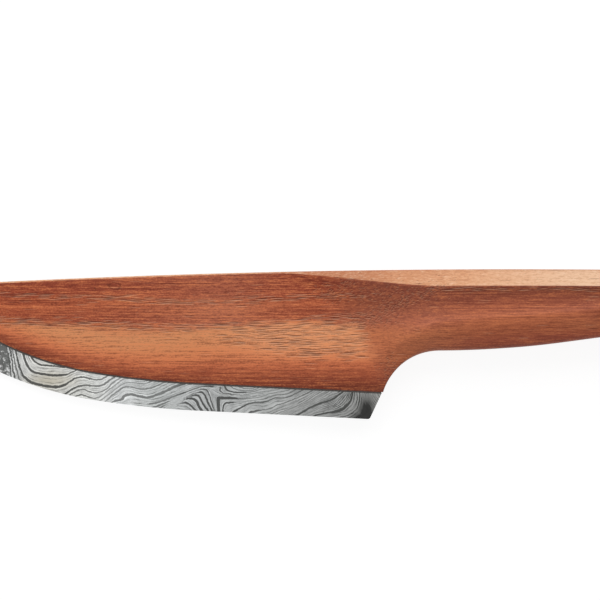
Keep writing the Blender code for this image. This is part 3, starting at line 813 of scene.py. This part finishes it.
def makeHardwood():
    # Mahogany, sanded and oiled: long fibre streaks, dark open pores with painted highlights below them, a
    # low soft sheen.
    material, node, inMm = startMaterial("mahogany_sanded_oiled")
    axes = node("SeparateXYZ", {0: inMm}).outputs
    across, rise, pale, pores, flecks = (
        node("Attribute", attribute_name=key).outputs["Fac"]
        for key in ("across", "rise", "pale", "pores", "flecks"))
    noises = {}
    for name, (perMm, settings) in hardwood["noises"].items():
        at = node("VectorMath", (inMm, perMm), operation="MULTIPLY")
        noises[name] = node("TexNoise", {"Vector": at, "Scale": 1.0, **settings})
    # the grain wanders by a millimetre over some 50 mm
    drift = node("MapRange", (noises["wander"], 0.3, 0.7, -1.4, 1.4))
    tones = zoneTones(node, axes, across, rise, drift)

    # zones: pale wood low on the blade, the darker swell, the handle, and the facet beside the spine,
    # whose paleness is partly painted light
    inPale = node("Math", (noises["fringe"], 5.0, pale), operation="MULTIPLY_ADD")
    inPale = node("MapRange", (inPale, 1.0, 4.4), interpolation_type="SMOOTHSTEP")
    swellEdge = node("MapRange", (axes["X"], -24.0, 0.0), interpolation_type="SMOOTHSTEP")
    onHandle = node("MapRange", (axes["X"], 4.0, 36.0), interpolation_type="SMOOTHSTEP")
    onFacet = node("MapRange", (across, 2.0, 2.06))
    onButt, endTone, dots = endGrain(node, inMm, axes, noises["arcs"])
    fibres = fibreLines(node, axes, noises, inPale, swellEdge, onHandle, onFacet)
    pore, poreGlint, fleck, fleckGlint = cutFibres(node, axes, noises["wave"], pores, flecks)
    openGrain = pore
    for cut in (fleck, knotDepth(node, inMm, noises["uneven"]), dots):
        openGrain = node("Math", (openGrain, cut), operation="MAXIMUM")
    # the pale marks beside the pores and flecks are painted highlights, colour standing in for light on
    # the pits' walls
    fleckGlint = node("Math", (fleckGlint, 0.6), operation="MULTIPLY")
    glintShare = node("Math", (poreGlint, fleckGlint), operation="MAXIMUM")
    glintShare = node("Math", (glintShare, 0.4), operation="MULTIPLY")
    openShare = node("Math", (openGrain, 0.8), operation="MULTIPLY")

    tone = tones["dark"]
    for share, over in ((swellEdge, tones["swell"]), (inPale, tones["pale"]), (onHandle, tones["handle"]),
                        (onFacet, tones["facet"]), (onButt, endTone), *fibres,
                        (glintShare, linear("#eebf9c")), (openShare, linear("#45190f"))):
        tone = node("Mix", {0: share, 6: tone, 7: over}, data_type="RGBA")

    height = node("Math", (openGrain, -1.0, noises["short"]), operation="MULTIPLY_ADD")
    relief = node("Bump", {"Height": height, "Strength": 0.15, "Distance": 0.03 * mm})
    matt = node("MapRange", (openGrain, 0.0, 1.0, 0.48, 0.7))
    shader = node("BsdfPrincipled", {"Base Color": tone, "Roughness": matt, "Normal": relief,
                                     "Specular IOR Level": 0.2})
    node("OutputMaterial", {"Surface": shader})
    return material


steel = {
    # along the blade, from x -165 mm to 5 mm: the bite's strength, and the tone of the bright layers,
    # which darkens toward the heel partly as a deeper etch and partly as painted light falling off along
    # the blade
    "biteAlong": [
        (0.0, 1.0), (0.36, 1.0), (0.42, 0.84), (0.56, 0.78), (0.585, 1.0), (0.68, 1.0), (0.72, 0.88),
        (0.86, 1.0)],
    "brightAlong": [
        (0.0, "#b9bab8"), (0.24, "#c6c7c6"), (0.32, "#c7c6c1"), (0.4, "#cdcecb"), (0.45, "#cdcfcf"),
        (0.52, "#b6b9b8"), (0.6, "#b0b2b2"), (0.74, "#a9abaa"), (0.8, "#9d9e9d"), (0.88, "#929392"),
        (0.94, "#8b8b89"), (1.0, "#8a8986")],
    # a warm tint between the two boldest layers near the tip, and deep etching in the corner of the heel
    # and up a streak above it: centre, stretch
    "warmSpot": ((-111, 4), (0.1, 0.3)),
    "heelSpots": [((-6.4, -9.0), (0.18, 0.28)), ((-5.6, -8.0), (0.27, 0.125))],
}


def etchedLayers(node, inMm, axes, alongAt):  # a place's layer, the lines bitten there and the painted highlights beside them
    layer, pace, bite = (
        node("Attribute", attribute_name=key).outputs["Fac"] for key in ("layer", "pace", "bite"))
    # the layers' edges are ragged by some 0.1 mm, and by twice that where they lie steep near the tip
    ragged = node("TexNoise", {"Vector": inMm, "Scale": 0.9, "Detail": 5.0, "Roughness": 0.7})
    shift = node("MapRange", (ragged, 0.3, 0.7, -0.16, 0.16))
    nearTip = node("MapRange", (axes["X"], -119.0, -123.0, 1.0, 2.2))
    shift = node("Math", (shift, nearTip), operation="MULTIPLY")
    layerHere = node("Math", (shift, pace, layer), operation="MULTIPLY_ADD")
    toLines = []
    for split in (1.0, 3.0):  # in mm, the way to the nearest layer, and to the nearest third of one
        number = node("Math", (layerHere, split), operation="MULTIPLY")
        number = node("Math", (number, 0.5), operation="PINGPONG")
        splitPace = node("Math", (pace, split), operation="MULTIPLY")
        toLines.append(node("Math", (number, splitPace), operation="DIVIDE"))
    toLine, toFine = toLines
    halfWide = node("Math", (bite, 0.27, 0.05), operation="MULTIPLY_ADD")
    within = node("Math", (halfWide, toLine), operation="SUBTRACT")
    strength = node("MapRange", (bite, 0.1, 0.9, 0.25, 0.92))
    biteAlong = node("ValToRGB", {0: alongAt}, steel["biteAlong"])
    strength = node("Math", (strength, biteAlong), operation="MULTIPLY")
    line = node("MapRange", (within, -0.09, 0.09, 0.0, strength))
    # a painted highlight beside each bitten layer, where the bright layer stands up and would catch the
    # light
    layerGlint = node("MapRange", (within, -0.4, -0.12, 0.0, 0.3))
    layerGlint = node("Math", (layerGlint, strength), operation="MULTIPLY")

    # two fainter layers between each two, left out where they'd lie closer than 0.3 mm, and bitten deeper
    # at the heel
    fineLine = node("MapRange", (pace, 3.4 / 3, 2.0 / 3, 0.0, 0.5))
    fineLine = node("MapRange", (toFine, 0.18, 0.06, 0.0, fineLine))
    fade = node("TexNoise", {"Vector": inMm, "Scale": 0.25, "Detail": 3.0})
    fade = node("MapRange", (fade, 0.4, 0.62, 0.25, 1.3))
    heelBite = node("MapRange", (axes["X"], -20.0, -12.0, 1.0, 2.2))
    for share in (fade, heelBite):
        fineLine = node("Math", (fineLine, share), operation="MULTIPLY")
    return layerHere, line, fineLine, layerGlint


def cloudedEtch(node, inMm, axes, layerHere):  # the etch's cloud near the tip
    # in blotches of a millimetre or two; its near edge leans with the layers
    cloud = node("TexNoise", {"Vector": inMm, "Scale": 0.6, "Detail": 6.0, "Roughness": 0.75})
    cloudHigh = node("MapRange", (axes["Y"], 4.0, 10.0, -0.08, 0.02))
    cloud = node("Math", (cloud, cloudHigh), operation="ADD")
    cloud = node("MapRange", (cloud, 0.4, 0.47, 0.0, 0.85))
    for at, none, full in ((layerHere, 5.4, 5.9), (axes["X"], -120.0, -122.0),
                           (axes["X"], -134.0, -128.0)):
        cloud = node("MapRange", (at, none, full, 0.0, cloud))
    return cloud


def brightLayers(node, inMm, alongAt, layerHere, layerGlint):  # the bright layers' tone, and their streaks
    # they differ in grey, and each is drawn out into streaks some 3 mm long
    streakZ = node("Math", (layerHere, 4.5), operation="MULTIPLY")
    streakZ = node("CombineXYZ", {2: streakZ})
    streakAt = node("VectorMath", (inMm, (0.35, 0.35, 0), streakZ), operation="MULTIPLY_ADD")
    streaks = node("TexNoise", {"Vector": streakAt, "Scale": 1.0, "Detail": 2.0, "Roughness": 0.6})
    speck = node("TexNoise", {"Vector": inMm, "Scale": 3.0, "Detail": 2.0, "Roughness": 0.7})
    glow = node("Math", (speck, 0.5, streaks), operation="MULTIPLY_ADD")
    glow = node("MapRange", (glow, 0.5, 1.0, 0.66, 1.28))
    # the painted highlight beside each bitten line brightens the bright layers here
    glow = node("Math", (glow, layerGlint), operation="ADD")
    # darker toward the heel: partly the etch, partly painted light that fades along the blade
    bright = node("ValToRGB", {0: alongAt}, steel["brightAlong"])
    bright = node("VectorMath", {0: bright, "Scale": glow}, operation="SCALE")
    warmAway = awayFrom(node, inMm, *steel["warmSpot"])
    warm = node("MapRange", (warmAway, 1.1, 0.2, 0.0, 0.6))
    bright = node("Mix", {0: warm, 6: bright, 7: linear("#b0a893")}, data_type="RGBA")
    return bright, streaks


def heelEtch(node, inMm, streaks):  # the deep etch at the heel
    heelDark = 0.0
    for spot in steel["heelSpots"]:
        away = awayFrom(node, inMm, *spot)
        away = node("Math", (streaks, -0.7, away), operation="MULTIPLY_ADD")
        etched = node("MapRange", (away, 0.74, 0.12, 0.0, 0.95))
        heelDark = node("Math", (heelDark, etched), operation="MAXIMUM")
    return heelDark


def makeSteel():
    # Pattern-welded steel, ground and etched: dark matt layers bitten between bright ones, clouded near
    # the tip and the heel.
    material, node, inMm = startMaterial("pattern_welded_steel_etched")
    axes = node("SeparateXYZ", {0: inMm}).outputs
    alongAt = node("MapRange", (axes["X"], -165.0, 5.0))
    layerHere, line, fineLine, layerGlint = etchedLayers(node, inMm, axes, alongAt)
    cloud = cloudedEtch(node, inMm, axes, layerHere)
    bright, streaks = brightLayers(node, inMm, alongAt, layerHere, layerGlint)
    heelDark = heelEtch(node, inMm, streaks)
    dark = line
    for etched in (fineLine, cloud, heelDark):
        dark = node("Math", (dark, etched), operation="MAXIMUM")
    darkTone = node("Mix", {0: heelDark, 6: linear("#3f403e"), 7: linear("#2c2c2b")}, data_type="RGBA")
    tone = node("Mix", {0: dark, 6: bright, 7: darkTone}, data_type="RGBA")
    rough = node("MapRange", (dark, 0.0, 1.0, 0.4, 0.58))
    relief = node("Bump", {"Height": dark, "Strength": 0.25, "Distance": 0.04 * mm}, invert=True)
    shader = node("BsdfPrincipled", {"Base Color": tone, "Roughness": rough, "Normal": relief,
                                     "Metallic": 1.0, "Specular Tint": linear("#8c8c8c")})
    node("OutputMaterial", {"Surface": shader})
    return material


def makeAdhesive():
    # Epoxy filled with soot, wiped flush: nearly black, dull, with a faint mottle.
    material, node, inMm = startMaterial("dark_epoxy_wiped")
    mottle = node("TexNoise", {"Vector": inMm, "Scale": 1.5, "Detail": 3.0})
    tone = node("ValToRGB", {0: mottle}, [(0.35, "#272220"), (0.65, "#433832")])
    shader = node("BsdfPrincipled", {"Base Color": tone, "Roughness": 0.6})
    node("OutputMaterial", {"Surface": shader})
    return material


for piece, make in ((woodPiece, makeHardwood), (stripPiece, makeSteel), (bondPiece, makeAdhesive)):
    piece.data.materials.clear()
    piece.data.materials.append(make())
print("materials made")


# The studio: a white floor, one broad window from the spine's side and even light from all round.
studio = {
    "floorSize": 3.0,
    "floorColour": "#f4f4f4",
    "floorGlow": 0.8,
    "floorWhite": 1.12,
    "roomLight": 0.45,
    "windowAt": (-0.25, 1.08, 0.9),
    "windowSize": (2.2, 1.55),
    "windowPower": 19.0,
    "viewWidth": 200.0 * mm,
    "viewCentre": (-27.7 * mm, 30.7 * mm),
    "cameraDistance": 1.6,
    "sensorWidth": 36.0,
}


def seenRays(node):  # 1 for the rays that show: the camera's own, mirrored ones and those through glass
    rays = node("LightPath").outputs
    seen = rays["Is Camera Ray"]
    for key in ("Is Glossy Ray", "Is Transmission Ray"):
        seen = node("Math", (seen, rays[key]), operation="MAXIMUM")
    return seen


def makeFloor():
    size = studio["floorSize"]
    mesh = bpy.data.meshes.new("floor")
    corners = [(-size, -size, 0), (size, -size, 0), (size, size, 0), (-size, size, 0)]
    mesh.from_pydata(corners, [], [(0, 1, 2, 3)])
    floor = bpy.data.objects.new("floor", mesh)
    bpy.context.scene.collection.objects.link(floor)
    # the knife lies on the neck of its handle and the side of its tip, so the floor leans to touch both
    neck = Vector((heelCorner.x + outline["notchEnd"][0], 0, heelCorner.z - wood["neckHalf"]))
    tip = Vector((stripLow.x, 0, heelCorner.z - strip["shoulderHalf"] / 2))
    slope = (tip.z - neck.z) / (tip.x - neck.x)
    floor.matrix_world = Matrix.Translation(neck) @ Matrix.Rotation(-slope, 4, "Y")
    material = bpy.data.materials.new("floor_matt_white")
    node = startNodes(material)
    matt = node("BsdfDiffuse", {"Color": linear(studio["floorColour"])})
    glow = node("Emission", {"Color": linear("#ffffff"), "Strength": studio["floorWhite"]})
    share = node("Math", (seenRays(node), studio["floorGlow"]), operation="MULTIPLY")
    shade = node("MixShader", (share, matt, glow))
    node("OutputMaterial", {"Surface": shade})
    mesh.materials.append(material)
    return floor


def makeRoom():
    world = bpy.data.worlds.new("studio")
    bpy.context.scene.world = world
    node = startNodes(world)
    strength = node("MapRange", (seenRays(node), 0.0, 1.0, studio["roomLight"], 1.0))
    glow = node("Background", {"Color": linear("#ffffff"), "Strength": strength})
    node("OutputWorld", {"Surface": glow})
    lamp = bpy.data.lights.new("window", "AREA")
    lamp.shape = "RECTANGLE"
    lamp.size, lamp.size_y = studio["windowSize"]
    lamp.energy = studio["windowPower"]
    window = bpy.data.objects.new("window", lamp)
    window.location = studio["windowAt"]
    window.rotation_euler = (-Vector(studio["windowAt"])).to_track_quat("-Z", "Y").to_euler()
    bpy.context.scene.collection.objects.link(window)


def makeCamera():
    camera = bpy.data.cameras.new("camera")
    camera.sensor_width = studio["sensorWidth"]
    camera.lens = studio["sensorWidth"] * studio["cameraDistance"] / studio["viewWidth"]
    item = bpy.data.objects.new("camera", camera)
    item.location = (heelCorner.x + studio["viewCentre"][0], heelCorner.y + studio["viewCentre"][1],
                     heelCorner.z + studio["cameraDistance"])
    bpy.context.scene.collection.objects.link(item)
    bpy.context.scene.camera = item
    bpy.context.scene.view_settings.view_transform = "Standard"


makeFloor()
makeRoom()
makeCamera()
print("studio set")
